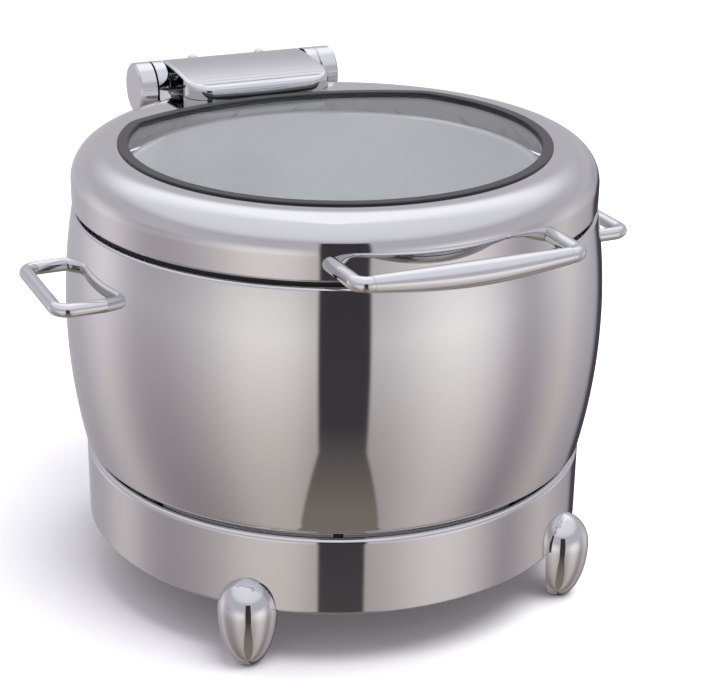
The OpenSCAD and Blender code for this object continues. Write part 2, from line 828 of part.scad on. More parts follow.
// the polished cover: a skin over the arm, clipped round the barrel's top
module hinge_cover() {
    color("gainsboro") difference() {
        cover_block(0) cover_outside();
        cover_block(cover_wall) cover_inside();
        on_axis(tube_r, -BIG, BIG);
        cover_screw_places() translate([0, 0, -10]) cylinder(r = screw_r + screw_clear, h = 20);
    }
}

cover_screw_x = 29.3;

// on the upper rear of the barrel
module cover_screw_places() {
    for (x = [-cover_screw_x, cover_screw_x])
        translate([x, hinge_y, hinge_z]) rotate([-48, 0, 0]) translate([0, 0, barrel_r]) children();
}

module cover_screws() {
    color("gainsboro") cover_screw_places() {
        translate([0, 0, -barrel_r + damper_r]) cylinder(r = screw_r, h = barrel_r - damper_r + 2);
        difference() {
            translate([0, 0, 1.5]) sphere(r = 4.8);
            translate([-6, -6, -8]) cube([12, 12, 8]);
        }
    }
}

// ---- lid handle ------------------------------------------------------------

grip_y = -lid_r - grip_reach;
grip_joint = grip_half - grip_bend_r - 1;
grip_root_y = -snap(sqrt(pow(lid_r, 2) - pow(grip_half, 2)));

// the lid's straight side, filled
module lid_side() {
    translate([0, 0, lid_z]) cylinder(r = lid_r, h = lid_h - lid_round_r + 3, $fn = CURVE_FN);
}

module grip_arm() {
    color("gainsboro") {
        difference() {
            translate([0, 0, handle_lid_z]) rotate([0, 0, -90])
                bent_rod(-grip_root_y - 7, grip_half, -grip_y, grip_joint, grip_bend_r, arm_r);
            lid_side();
        }
        grip_studs(screw_r, 10, -3);
    }
}

// a stud along Y at one root, from behind the wall to in front of it
module grip_studs(r, behind, front) {
    translate([grip_half, grip_root_y + behind, handle_lid_z]) rotate([90, 0, 0])
        cylinder(r = r, h = behind - front);
}

module lid_handle_arm_right() { grip_arm(); }
module lid_handle_arm_left() { mirror([1, 0, 0]) grip_arm(); }

GRIP_RINGS = 24;
GRIP_SIDES = 32;

// radius of the grip at share t of its length: thin ends and a fuller middle
function grip_at(t) = arm_r + 0.4 + (grip_mid_r - arm_r - 0.4) * sin(180 * t);

// its upper edge is straight and its lower edge bellies out
function grip_point(i, j) =
    let (t = i / GRIP_RINGS, r = grip_at(t), a = 360 * j / GRIP_SIDES)
        [(2 * t - 1) * grip_joint, grip_y + r * cos(a),
            handle_lid_z + arm_r + 0.4 - r + r * sin(a)];

module lid_handle_grip() {
    n = GRIP_SIDES;
    points = [for (i = [0 : GRIP_RINGS]) for (j = [0 : n - 1]) grip_point(i, j)];
    sides = [for (i = [0 : GRIP_RINGS - 1]) for (j = [0 : n - 1])
        [i * n + j, i * n + (j + 1) % n, (i + 1) * n + (j + 1) % n, (i + 1) * n + j]];
    ends = [[for (j = [n - 1 : -1 : 0]) j], [for (j = [0 : n - 1]) GRIP_RINGS * n + j]];
    color("gainsboro") polyhedron(points = points, faces = concat(sides, ends));
}

grip_seat_y = -sqrt(pow(lid_r - lid_wall, 2) - pow(grip_half + washer_r, 2));

module lid_handle_washers() {
    color("silver") both_sides() translate([grip_half, grip_seat_y, handle_lid_z])
        rotate([0, 0, 90]) drilled_disc(washer_r, washer_t, screw_r + screw_clear);
}

module lid_handle_nuts() {
    color("silver") both_sides() translate([grip_half, grip_seat_y + washer_t, handle_lid_z])
        rotate([-90, 0, 0]) difference() {
            cylinder(r = nut_r, h = nut_h, $fn = 6);
            translate([0, 0, -1]) cylinder(r = screw_r, h = nut_h + 2);
        }
}

stand_ring();
ledge_ring();
rest_pads();
foot_front_left();
foot_front_right();
foot_rear_left();
foot_rear_right();
foot_rubbers();
foot_screws();
body_shell();
base_plate();
water_pan();
pot_ring();
soup_pot();
rim_seal();
side_handle_left();
side_handle_right();
side_handle_washers();
side_handle_nuts();
hinge_bracket();
bracket_backing();
bracket_screws();
bracket_nuts();
hinge_pin();
pin_bushes();
end_cap_left();
end_cap_right();
lid_shell();
lid_liner();
glass_pane();
glass_gasket();
lid_barrel();
friction_collars();
hinge_damper();
lid_arm();
arm_screws();
arm_nuts();
hinge_cover();
cover_screws();
lid_handle_arm_left();
lid_handle_arm_right();
lid_handle_grip();
lid_handle_washers();
lid_handle_nuts();
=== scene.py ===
# %% [markdown]
# # A round soup kettle
# The frame below is the exact metal: every piece at its real size and place, in metres.
# This lesson dresses it. The polished shells are modelled again with clean, round surfaces,
# because a mirror shows every flat facet, and small turned pieces are smoothed copies.

# %% The frame
import json
import math
import bmesh
import bpy
from mathutils import Matrix, Vector


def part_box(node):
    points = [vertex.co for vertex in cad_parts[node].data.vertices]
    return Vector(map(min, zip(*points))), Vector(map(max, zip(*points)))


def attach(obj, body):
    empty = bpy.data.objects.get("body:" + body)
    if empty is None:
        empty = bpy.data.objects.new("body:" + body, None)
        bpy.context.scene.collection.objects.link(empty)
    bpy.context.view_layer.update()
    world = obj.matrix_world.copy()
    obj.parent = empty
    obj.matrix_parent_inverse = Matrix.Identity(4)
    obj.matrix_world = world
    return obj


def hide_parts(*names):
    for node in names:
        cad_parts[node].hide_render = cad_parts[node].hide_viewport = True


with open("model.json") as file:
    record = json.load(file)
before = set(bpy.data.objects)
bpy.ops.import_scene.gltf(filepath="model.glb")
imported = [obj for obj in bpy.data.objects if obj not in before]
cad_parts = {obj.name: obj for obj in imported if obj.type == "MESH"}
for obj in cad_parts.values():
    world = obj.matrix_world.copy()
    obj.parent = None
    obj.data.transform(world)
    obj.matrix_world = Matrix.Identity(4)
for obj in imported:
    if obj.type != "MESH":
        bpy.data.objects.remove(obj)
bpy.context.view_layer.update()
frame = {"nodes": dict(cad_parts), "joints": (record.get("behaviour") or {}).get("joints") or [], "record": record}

# %% Sizes that the pieces share, in millimetres
MM = 0.001


def node_box(node):
    """Lowest and highest corner of a CAD node, in millimetres."""
    low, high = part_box(node)
    return low / MM, high / MM


hinge = next(j for j in frame["joints"] if j["name"] == "lid_hinge")
HINGE_Y, HINGE_Z = hinge["pos_m"][1] / MM, hinge["pos_m"][2] / MM
ring_low, ring_high = node_box("stand_ring")
body_low, body_high = node_box("body_shell")
lid_low, lid_high = node_box("lid_shell")
pot_low, pot_high = node_box("soup_pot")
pan_low, pan_high = node_box("water_pan")
gasket_low, gasket_high = node_box("glass_gasket")
pane_low, pane_high = node_box("glass_pane")
print("ring radius", round(ring_high.x, 2), "body radius", round(body_high.x, 2),
      "lid radius", round(lid_high.x, 2), "hinge at", round(HINGE_Y, 2), round(HINGE_Z, 2))

# %% [markdown]
# ## Working by hand from code
# In a window, you click to select and press a key for each operator. Here a small test picks
# the vertices, edges or faces by their place, and the same operators do the work.

# %% Selecting by place
ALL_ROUND = 2 * math.pi
ROUND_STEPS = 256       # segments round the big shells: each is under 5 mm long


def start_clean():
    """Nothing is selected, so that an operator acts only on the new piece."""
    if bpy.context.object and bpy.context.object.mode != "OBJECT":
        bpy.ops.object.mode_set(mode="OBJECT")
    bpy.ops.object.select_all(action="DESELECT")


def edit(piece):
    """Opens one piece in edit mode."""
    start_clean()
    bpy.context.view_layer.objects.active = piece
    piece.select_set(True)
    bpy.ops.object.mode_set(mode="EDIT")


def pick_all():
    """In edit mode: everything is selected."""
    bpy.ops.mesh.select_all(action="SELECT")


def extrude(x, y, z):
    """In edit mode: extrudes what is selected, by millimetres."""
    bpy.ops.mesh.extrude_region_move(
        TRANSFORM_OT_translate={"value": Vector((x, y, z)) * MM})


def choose(test, kind="VERT"):
    """Selects the vertices, edges or faces whose middle, in millimetres, passes a test."""
    bpy.ops.mesh.select_mode(type=kind)
    bpy.ops.mesh.select_all(action="DESELECT")
    mesh = bmesh.from_edit_mesh(bpy.context.edit_object.data)
    for part in {"VERT": mesh.verts, "EDGE": mesh.edges, "FACE": mesh.faces}[kind]:
        middle = part.co if kind == "VERT" else (
            sum((v.co for v in part.verts), Vector()) / len(part.verts))
        if test(middle / MM):
            part.select_set(True)
    mesh.select_flush_mode()
    bmesh.update_edit_mesh(bpy.context.edit_object.data)


def near(point, reach=0.05):
    """A test for what lies within reach of a point, in millimetres."""
    place = Vector(point)
    return lambda middle: (middle - place).length < reach


# %% Finishing a piece
def close_seams():
    """In edit mode: merges doubles and turns the faces outwards."""
    pick_all()
    bpy.ops.mesh.remove_doubles(threshold=0.002 * MM)
    bpy.ops.mesh.normals_make_consistent(inside=False)


def apply_modifier(piece, kind, **settings):
    """Adds a modifier, sets it and applies it."""
    start_clean()
    bpy.context.view_layer.objects.active = piece
    piece.select_set(True)
    modifier = piece.modifiers.new(kind.title(), kind)
    for name, value in settings.items():
        setattr(modifier, name, value)
    bpy.ops.object.modifier_apply(modifier=modifier.name)


def smooth(piece, angle=32):
    """Soft shading, with an edge wherever the surface turns by more than the angle."""
    start_clean()
    bpy.context.view_layer.objects.active = piece
    piece.select_set(True)
    bpy.ops.object.transform_apply(location=True, rotation=True, scale=True)
    bpy.ops.object.shade_smooth_by_angle(angle=math.radians(angle))
    # big flat and upright faces keep their true direction, or a mirror would look bent
    apply_modifier(piece, "WEIGHTED_NORMAL", mode="FACE_AREA", weight=50, keep_sharp=True)


def face_out(piece):
    """Turns a closed shell the right way round if its volume comes out negative."""
    mesh = bmesh.new()
    mesh.from_mesh(piece.data)
    inside_out = mesh.calc_volume(signed=True) < 0
    mesh.free()
    if inside_out:
        edit(piece)
        pick_all()
        bpy.ops.mesh.flip_normals()
        start_clean()


def join_into(first, *others):
    """Makes several closed shells one piece, which keeps the first one's name."""
    start_clean()
    for piece in (first, *others):
        piece.select_set(True)
    bpy.context.view_layer.objects.active = first
    if others:
        bpy.ops.object.join()


def hand_over(piece, body, slot, *nodes):
    """The piece rides on its body and stands for its CAD nodes."""
    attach(piece, body)
    if nodes:
        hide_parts(*nodes)
    size = piece.dimensions / MM
    print(f"{piece.name}: {len(piece.data.polygons)} faces, "
          f"{size.x:.1f} x {size.y:.1f} x {size.z:.1f} mm")
    return piece


# %% [markdown]
# ## Sheet turned on a lathe
# The kettle's shells are pressed and spun from flat discs, so each is one section turned
# about the upright axis. A single vertex is extruded along the section, its corners are
# rounded with a vertex bevel, and Spin sweeps it round. Solidify then gives the sheet its
# thickness, measured inwards from the polished side.

# %% A line of vertices, and the lathe
def draw_line(name, points):
    """A chain of vertices through the points, extruded one after another."""
    start_clean()
    bpy.ops.mesh.primitive_plane_add(size=MM, location=Vector(points[0]) * MM)
    piece = bpy.context.object
    piece.name = piece.data.name = name
    bpy.ops.object.transform_apply(location=True)
    edit(piece)
    bpy.ops.mesh.select_mode(type="VERT")
    bpy.ops.mesh.merge(type="CENTER")
    for here, there in zip(points, points[1:]):
        step = (Vector(there) - Vector(here)) * MM
        bpy.ops.mesh.extrude_vertices_move(TRANSFORM_OT_translate={"value": step})
    return piece


def round_corner(point, radius, turn=90, segments=8):
    """In edit mode: rounds one corner of a line to a radius, where it turns by an angle."""
    choose(near(point))
    reach = radius * math.tan(math.radians(turn) / 2) * MM
    bpy.ops.mesh.bevel(offset=reach, segments=segments, affect="VERTICES")


def outermost_faces_out(piece):
    """On an open shell, turns the faces over if the outermost one looks inwards."""
    reach = lambda face: math.hypot(face.center.x, face.center.y)
    face = max(piece.data.polygons, key=reach)
    if face.normal.x * face.center.x + face.normal.y * face.center.y < 0:
        edit(piece)
        pick_all()
        bpy.ops.mesh.flip_normals()
        start_clean()


def turned(name, section, rounds=(), wall=0, steps=ROUND_STEPS):
    """A section of (radius, height) points, turned about the upright axis."""
    piece = draw_line(name, [(0, r, z) for r, z in section])
    for (r, z), radius, turn in rounds:
        round_corner((0, r, z), radius, turn)
    pick_all()
    bpy.ops.mesh.spin(steps=steps, angle=ALL_ROUND, center=(0, 0, 0), axis=(0, 0, 1))
    close_seams()
    start_clean()
    outermost_faces_out(piece)
    if wall:
        apply_modifier(piece, "SOLIDIFY", thickness=wall * MM, offset=-1,
                       use_even_offset=True)
    face_out(piece)
    smooth(piece)
    return piece


def along_arc(r, z, radius, start, end, steps):
    """Points on an arc of a section, from one angle to another."""
    angles = [math.radians(start + (end - start) * i / steps) for i in range(steps + 1)]
    return [(r + radius * math.cos(a), z + radius * math.sin(a)) for a in angles]

# %% [markdown]
# ## The materials
# Nearly all of the kettle is 18/10 stainless steel. Outside it is buffed to a mirror: what
# the eye sees is the studio, softened a little by the buffing and by the roller's faint
# waviness. Inside it has a satin finish, whose fine turned lines blur everything they mirror.

# %% Colours and nodes
def linear(code):
    """An sRGB hex colour as linear light."""
    parts = [int(code[i:i + 2], 16) / 255 for i in (0, 2, 4)]
    return tuple(c / 12.92 if c <= 0.04045 else ((c + 0.055) / 1.055) ** 2.4
                 for c in parts) + (1.0,)


def add_node(tree, kind, settings=None, **inputs):
    """Adds a node. An input is a value, or a socket of another node to link to."""
    node = tree.nodes.new(kind)
    for name, value in (settings or {}).items():
        setattr(node, name, value)
    for name, value in inputs.items():
        key = int(name[1:]) if name[0] == "_" else name.replace("_", " ")
        if isinstance(value, bpy.types.NodeSocket):
            tree.links.new(value, node.inputs[key])
        else:
            node.inputs[key].default_value = value
    return node


def new_material(name, colour, metallic, roughness, **more):
    """A Principled material. Uniform values are set on the shader itself."""
    material = bpy.data.materials.new(name)
    material.use_nodes = True
    shader = material.node_tree.nodes["Principled BSDF"]
    shader.inputs["Base Color"].default_value = linear(colour)
    shader.inputs["Metallic"].default_value = metallic
    shader.inputs["Roughness"].default_value = roughness
    for key, value in more.items():
        shader.inputs[key.replace("_", " ")].default_value = value
    return material, material.node_tree, shader


def ramp(tree, factor, stops, interpolation="LINEAR"):
    """A colour ramp through (place, hex colour) stops."""
    node = add_node(tree, "ShaderNodeValToRGB", Fac=factor)
    band = node.color_ramp
    band.interpolation = interpolation
    while len(band.elements) < len(stops):
        band.elements.new(0.5)
    for element, (place, colour) in zip(band.elements, stops):
        element.position = place
        element.color = linear(colour)
    return node.outputs["Color"]


def per_mm(size):
    """Noise scale for one grain every so many millimetres."""
    return 1 / (size * MM)


# %% Polished stainless steel
def polished_steel(name, colour="DADBDC", roughness=0.055, wave=0.5):
    """Buffed 18/10 sheet: warm grey, almost a mirror, with handling haze and soft waves."""
    material, tree, shader = new_material(name, colour, 1.0, roughness)
    place = add_node(tree, "ShaderNodeTexCoord").outputs["Object"]
    # handling haze: soft patches about 60 mm wide
    haze = add_node(tree, "ShaderNodeTexNoise", Vector=place, Scale=per_mm(60), Detail=4.0,
                    Roughness=0.55)
    rough = add_node(tree, "ShaderNodeMapRange", Value=haze.outputs["Fac"], _1=0.35, _2=0.7,
                     _3=roughness * 0.8, _4=roughness * 1.3)
    tree.links.new(rough.outputs["Result"], shader.inputs["Roughness"])
    # the roller's faint waviness, a few hundredths of a millimetre over 45 mm
    waves = add_node(tree, "ShaderNodeTexNoise", Vector=place, Scale=per_mm(45), Detail=1.0)
    bump = add_node(tree, "ShaderNodeBump", Height=waves.outputs["Fac"], Strength=1.0,
                    Distance=0.02 * MM * wave)
    tree.links.new(bump.outputs["Normal"], shader.inputs["Normal"])
    return material


MIRROR = polished_steel("polished_stainless_steel")
CAST_MIRROR = polished_steel("polished_cast_stainless_steel", "DDDEDF", 0.045, 0.15)


# %% Satin stainless steel
def satin_steel(name, roughness=0.27):
    """Sheet finished with turned lines, as on the inside of a pot."""
    material, tree, shader = new_material(name, "DCDCDE", 1.0, roughness)
    place = add_node(tree, "ShaderNodeTexCoord").outputs["Object"]
    across = add_node(tree, "ShaderNodeSeparateXYZ", Vector=place)
    radius = add_node(tree, "ShaderNodeMath", {"operation": "POWER"}, _1=2.0,
                      _0=across.outputs["X"])
    radius_y = add_node(tree, "ShaderNodeMath", {"operation": "POWER"}, _1=2.0,
                        _0=across.outputs["Y"])
    squared = add_node(tree, "ShaderNodeMath", {"operation": "ADD"},
                       _0=radius.outputs[0], _1=radius_y.outputs[0])
    radial = add_node(tree, "ShaderNodeMath", {"operation": "SQRT"}, _0=squared.outputs[0])
    turned_place = add_node(tree, "ShaderNodeCombineXYZ", X=radial.outputs[0],
                            Z=across.outputs["Z"])
    # turned lines, drawn 0.8 mm apart: the real ones are too fine to show
    lines = add_node(tree, "ShaderNodeTexNoise", Vector=turned_place.outputs[0],
                     Scale=per_mm(0.8), Detail=2.0)
    cloud = add_node(tree, "ShaderNodeTexNoise", Vector=place, Scale=per_mm(70), Detail=3.0)
    rough = add_node(tree, "ShaderNodeMapRange", Value=cloud.outputs["Fac"], _1=0.35, _2=0.7,
                     _3=roughness * 0.85, _4=roughness * 1.2)
    tree.links.new(rough.outputs["Result"], shader.inputs["Roughness"])
    bump = add_node(tree, "ShaderNodeBump", Height=lines.outputs["Fac"], Strength=0.35,
                    Distance=0.02 * MM)
    tree.links.new(bump.outputs["Normal"], shader.inputs["Normal"])
    return material


SATIN = satin_steel("satin_stainless_steel")
POT_SATIN = satin_steel("glass_beaded_stainless_steel", 0.56)


# %% Fasteners, base, rubber and plastics
def grained(name, colour, metallic, roughness, grain, depth, **more):
    """A plain finish with fine grain: turned, rolled or moulded."""
    material, tree, shader = new_material(name, colour, metallic, roughness, **more)
    place = add_node(tree, "ShaderNodeTexCoord").outputs["Object"]
    grains = add_node(tree, "ShaderNodeTexNoise", Vector=place, Scale=per_mm(grain),
                      Detail=3.0)
    rough = add_node(tree, "ShaderNodeMapRange", Value=grains.outputs["Fac"], _1=0.3,
                     _2=0.7, _3=roughness * 0.85, _4=roughness * 1.15)
    tree.links.new(rough.outputs["Result"], shader.inputs["Roughness"])
    bump = add_node(tree, "ShaderNodeBump", Height=grains.outputs["Fac"], Strength=0.4,
                    Distance=depth * MM)
    tree.links.new(bump.outputs["Normal"], shader.inputs["Normal"])
    return material


TURNED = grained("turned_stainless_steel", "B9B9BA", 1.0, 0.24, 1.2, 0.01)
ALUMINIUM = grained("rolled_aluminium", "C9CACC", 1.0, 0.36, 3.0, 0.02)
RUBBER = grained("moulded_silicone_rubber", "262628", 0.0, 0.42, 0.8, 0.02, IOR=1.43)
ACETAL = grained("moulded_acetal", "E4DFD4", 0.0, 0.4, 1.0, 0.01, IOR=1.48)
NYLON = grained("moulded_black_nylon", "27282B", 0.0, 0.45, 1.0, 0.02, IOR=1.53)

GLASS, glass_tree, glass_shader = new_material(
    "clear_tempered_glass", "F4FAF8", 0.0, 0.0, IOR=1.52, Transmission_Weight=1.0)
glass_place = add_node(glass_tree, "ShaderNodeTexCoord").outputs["Object"]
# tempering leaves the pane very slightly wavy, over about 90 mm
glass_waves = add_node(glass_tree, "ShaderNodeTexNoise", Vector=glass_place,
                       Scale=per_mm(90), Detail=0.0)
glass_bump = add_node(glass_tree, "ShaderNodeBump", Height=glass_waves.outputs["Fac"],
                      Strength=1.0, Distance=0.01 * MM)
glass_tree.links.new(glass_bump.outputs["Normal"], glass_shader.inputs["Normal"])

FINISHES = {"mirror_steel": MIRROR, "satin_steel": SATIN, "fastener_steel": TURNED,
            "base_aluminium": ALUMINIUM, "black_rubber": RUBBER, "window_glass": GLASS,
            "damper_plastic": NYLON, "bush_plastic": ACETAL}


def finish_with(piece, material):
    """One material all over a piece."""
    piece.data.materials.clear()
    piece.data.materials.append(material)


for part in frame["record"]["subparts"]:
    finish_with(frame["nodes"][part["node"]], FINISHES[part["material_slot"]])

# %% [markdown]
# ## The stand
# The stand ring is one strip of sheet with its top edge turned in over a soft radius, to
# carry the kettle, and a small flange at the bottom. Turning it on the lathe gives both.

# %% The stand ring
ring_r, ring_bottom, ring_top = ring_high.x, ring_low.z, ring_high.z
LEDGE, FLANGE = 13.5, 10    # how far the edges turn in, at the top and at the bottom
LEDGE_BEND, FLANGE_BEND, RING_WALL = 4, 2.5, 1.5
stand_ring = turned(
    "stand_ring_polished",
    [(ring_r - LEDGE, ring_top), (ring_r, ring_top), (ring_r, ring_bottom),
     (ring_r - FLANGE, ring_bottom)],
    rounds=[((ring_r, ring_top), LEDGE_BEND, 90), ((ring_r, ring_bottom), FLANGE_BEND, 90)],
    wall=RING_WALL)
finish_with(stand_ring, MIRROR)
hand_over(stand_ring, "stand", "mirror_steel", "stand_ring")

# %% [markdown]
# ## The feet
# Each foot is a solid egg of cast, polished steel, cut flat at the back where it hugs the
# ring. One egg is turned, cut by a Boolean with a cylinder of the ring's size, and copied.

# %% One egg-shaped foot, and its copies
EGG_R, EGG_H, EGG_BELLY, EGG_BASE_R, RUBBER_H = 21, 66, 42, 8.8, 1.5
EGG_TOE, EGG_TOE_TURN, FOOT_ANGLE = 1.2, 70, 42
FOOT_BITE, FLAT_BACK = 1, 4.5   # the egg's middle in the ring's wall, and its flat behind it
foot_reach = ring_r - FOOT_BITE
low_half = (EGG_BELLY - RUBBER_H) / math.sqrt(1 - (EGG_BASE_R / EGG_R) ** 2)


def egg_radius(z):
    """The egg's radius at a height: a dome above the belly, a longer curve below it."""
    share = (EGG_BELLY - z) / low_half if z < EGG_BELLY else (
        (z - EGG_BELLY) / (EGG_H - EGG_BELLY))
    return EGG_R * math.sqrt(max(0, 1 - share * share))


lower_curve = [RUBBER_H + (EGG_BELLY - RUBBER_H) * i / 20 for i in range(21)]
upper_curve = [EGG_BELLY + (EGG_H - EGG_BELLY) * math.sin(math.pi / 2 * i / 24)
               for i in range(1, 25)]
egg = turned("foot_egg", [(0, RUBBER_H)] + [(egg_radius(z), z)
                                            for z in lower_curve + upper_curve],
             rounds=[((EGG_BASE_R, RUBBER_H), EGG_TOE, EGG_TOE_TURN)], steps=72)
egg.data.transform(Matrix.Translation((0, -foot_reach * MM, 0)))

start_clean()
bpy.ops.mesh.primitive_cylinder_add(vertices=360, radius=ring_r * MM, depth=EGG_H * 4 * MM)
ring_cutter = bpy.context.object
start_clean()
bpy.ops.mesh.primitive_cube_add(size=1, location=(0, 0, 0))
flat_cutter = bpy.context.object
flat_cutter.dimensions = (90 * MM, 2 * (foot_reach - FLAT_BACK) * MM, 400 * MM)
apply_modifier(egg, "BOOLEAN", operation="DIFFERENCE", object=flat_cutter, solver="EXACT")
# above the flange, the ring's own round side cuts the egg
ring_cutter.location.z = (ring_bottom + EGG_H * 2) * MM
bpy.context.view_layer.update()
apply_modifier(egg, "BOOLEAN", operation="DIFFERENCE", object=ring_cutter, solver="EXACT")
for cutter in (ring_cutter, flat_cutter):
    bpy.data.objects.remove(cutter)
smooth(egg)
finish_with(egg, CAST_MIRROR)

FEET = {"foot_front_left": -FOOT_ANGLE, "foot_front_right": FOOT_ANGLE,
        "foot_rear_left": -180 + FOOT_ANGLE, "foot_rear_right": 180 - FOOT_ANGLE}
for node, angle in FEET.items():
    start_clean()
    egg.select_set(True)
    bpy.context.view_layer.objects.active = egg
    bpy.ops.object.duplicate()
    foot = bpy.context.object
    foot.name = foot.data.name = node + "_polished"
    foot.rotation_euler.z = math.radians(angle)
    smooth(foot)
    hand_over(foot, "stand", "mirror_steel", node)
bpy.data.objects.remove(egg)

# %% [markdown]
# ## The barrel body
# The body bulges gently between a tight lower corner and a soft upper edge. Its side is part
# of a circle of 440 mm radius, so the section is drawn along that arc.

# %% The barrel
SIDE_R, LOWER_CORNER, UPPER_EDGE, SHEET = 440, 8, 2.5, 1.2
BELLY_RISE, BOTTOM_HOLE_R, MOUTH_R = 101, 165, 174
belly_r, belly_z = body_high.x, body_low.z + BELLY_RISE
side_centre = belly_r - SIDE_R


def side_angle(z):
    """How far round the side's circle a height lies, in degrees."""
    return math.degrees(math.asin((z - belly_z) / SIDE_R))


foot_z, edge_z = body_low.z + LOWER_CORNER, body_high.z - UPPER_EDGE
side = along_arc(side_centre, belly_z, SIDE_R, side_angle(foot_z), side_angle(edge_z), 40)
low_r, high_r = side[0][0], side[-1][0]
section = ([(BOTTOM_HOLE_R, body_low.z)]
           + along_arc(low_r - LOWER_CORNER, foot_z, LOWER_CORNER, -90, -12, 9)[:-1]
           + side
           + along_arc(high_r - UPPER_EDGE, edge_z, UPPER_EDGE, 10, 90, 8)[1:]
           + [(MOUTH_R, body_high.z)])
body_shell = turned("body_shell_polished", section, wall=SHEET)
finish_with(body_shell, MIRROR)
hand_over(body_shell, "kettle", "mirror_steel", "body_shell")

# %% [markdown]
# ## Water pan, pot ring and soup pot
# Inside, a pan holds the hot water, a ring closes it, and the pot hangs in the ring by its
# rolled rim. They are seen through the window and when the lid is up.

# %% The water pan and its ring
PAN_INNER_R, PAN_WALL, PAN_CORNER, PAN_RIM = 171.9, 1, 10, 1.5
pan_r = PAN_INNER_R + PAN_WALL
water_pan = turned(
    "water_pan_satin",
    [(0, pan_low.z), (pan_r, pan_low.z), (pan_r, pan_high.z), (pan_high.x, pan_high.z)],
    rounds=[((pan_r, pan_low.z), PAN_CORNER, 90), ((pan_r, pan_high.z), PAN_RIM, 90)],
    wall=PAN_WALL)
finish_with(water_pan, SATIN)
hand_over(water_pan, "kettle", "satin_steel", "water_pan")

ring_in_low, ring_in_high = node_box("pot_ring")
COLLAR_INNER_R, RING_SHEET, COLLAR_BEND = 149.9, 1, 2
collar_r, shelf_z = COLLAR_INNER_R + RING_SHEET, ring_in_low.z + RING_SHEET
pot_ring = turned(
    "pot_ring_satin",
    [(ring_in_high.x, shelf_z), (collar_r, shelf_z), (collar_r, ring_in_high.z)],
    rounds=[((collar_r, shelf_z), COLLAR_BEND, 90)], wall=RING_SHEET)
finish_with(pot_ring, POT_SATIN)
hand_over(pot_ring, "kettle", "satin_steel", "pot_ring")

# %% The soup pot
POT_R, POT_WALL, POT_CORNER, BEAD, BEAD_OUT = 148.1, 1.2, 21.2, 3.6, 3
bead_z = pot_high.z - BEAD
bead_r = POT_R + BEAD_OUT
pot_section = ([(0, pot_low.z), (POT_R, pot_low.z), (POT_R, bead_z)]
               + along_arc(bead_r, bead_z, bead_r - POT_R, 180, -100, 14)[1:])
soup_pot = turned("soup_pot_satin", pot_section,
                  rounds=[((POT_R, pot_low.z), POT_CORNER, 90)], wall=POT_WALL)
finish_with(soup_pot, POT_SATIN)
hand_over(soup_pot, "kettle", "satin_steel", "soup_pot")

# %% [markdown]
# ## The lid
# The lid is a pressed ring: a curled lower edge, a short upright side, a big soft shoulder
# and a flat top with a hole for the window. The hole is a circle with a flatter rear edge,
# which leaves room for the hinge's tongue. Its outline is drawn once and used three times.

# %% The window's outline
lid_r, lid_bottom, lid_top = lid_high.x, lid_low.z, lid_high.z
SHOULDER, CURL, LID_TOP_W, LID_WALL, TOP_REACH = 24, 2.5, 34.2, 1.2, 45
REAR_R, CORNER_R = 244, 30
COVER_REACH, REAR_GAP = 72.7, 3.3   # hinge to the cover's lip, and the lip to the rubber
window_r = lid_r - LID_TOP_W
rear_y = HINGE_Y - COVER_REACH - REAR_GAP


def window_outline(inset, z):
    """The window's edge in plan, so far inside the rubber's outer edge."""
    rear_centre = REAR_R - rear_y
    y = ((REAR_R - CORNER_R) ** 2 - (window_r - CORNER_R) ** 2 - rear_centre ** 2) / (
        2 * rear_centre)
    x = math.sqrt((window_r - CORNER_R) ** 2 - y * y)
    side_turn = math.atan2(y, x)
    rear_turn = math.atan2(y + rear_centre, x)
    arcs = [(0, 0, window_r - inset, -math.pi / 2, side_turn, 90),
            (x, y, CORNER_R - inset, side_turn, rear_turn, 24),
            (0, -rear_centre, REAR_R - inset, rear_turn, math.pi / 2, 24)]
    half = []
    for cx, cy, r, a0, a1, n in arcs:
        angles = [a0 + (a1 - a0) * i / n for i in range(n)]
        half += [(cx + r * math.cos(a), cy + r * math.sin(a), z) for a in angles]
    half.append((0, REAR_R - rear_centre - inset, z))
    return half + [(-px, py, pz) for px, py, pz in reversed(half[1:-1])]


def window_plate(name, inset, z, height):
    """The window's outline as a solid plate."""
    piece = draw_line(name, window_outline(inset, z))
    pick_all()
    bpy.ops.mesh.edge_face_add()
    extrude(0, 0, height)
    close_seams()
    start_clean()
    return piece


# %% The lid's polished ring
lid_section = (
    [(lid_r - CURL - 1, lid_bottom)]
    + along_arc(lid_r - CURL, lid_bottom + CURL, CURL, -90, 0, 8)
    + along_arc(lid_r - SHOULDER, lid_top - SHOULDER, SHOULDER, 0, 90, 28)
    + [(lid_r - SHOULDER - 1, lid_top), (lid_r - SHOULDER - TOP_REACH, lid_top)])
lid_shell = turned("lid_shell_polished", lid_section)
HOLE_INSET, PANE_INSET, CUTTER_H = 4, 5, 40
window_cutter = window_plate("window_cutter", HOLE_INSET, lid_top - CUTTER_H / 2, CUTTER_H)
apply_modifier(lid_shell, "SOLIDIFY", thickness=LID_WALL * MM, offset=-1,
               use_even_offset=True)
face_out(lid_shell)
apply_modifier(lid_shell, "BOOLEAN", operation="DIFFERENCE", object=window_cutter,
               solver="EXACT")
bpy.data.objects.remove(window_cutter)
smooth(lid_shell)
finish_with(lid_shell, MIRROR)
hand_over(lid_shell, "lid", "mirror_steel", "lid_shell")

# %% The pane and its rubber
pane = window_plate("glass_pane_clear", PANE_INSET, pane_low.z, pane_high.z - pane_low.z)
apply_modifier(pane, "BEVEL", width=0.6 * MM, segments=2, limit_method="ANGLE",
               angle_limit=math.radians(60))
smooth(pane)
finish_with(pane, GLASS)
hand_over(pane, "lid", "window_glass", "glass_pane")
pane.visible_shadow = False     # clear glass lets the lamp's light straight into the pot


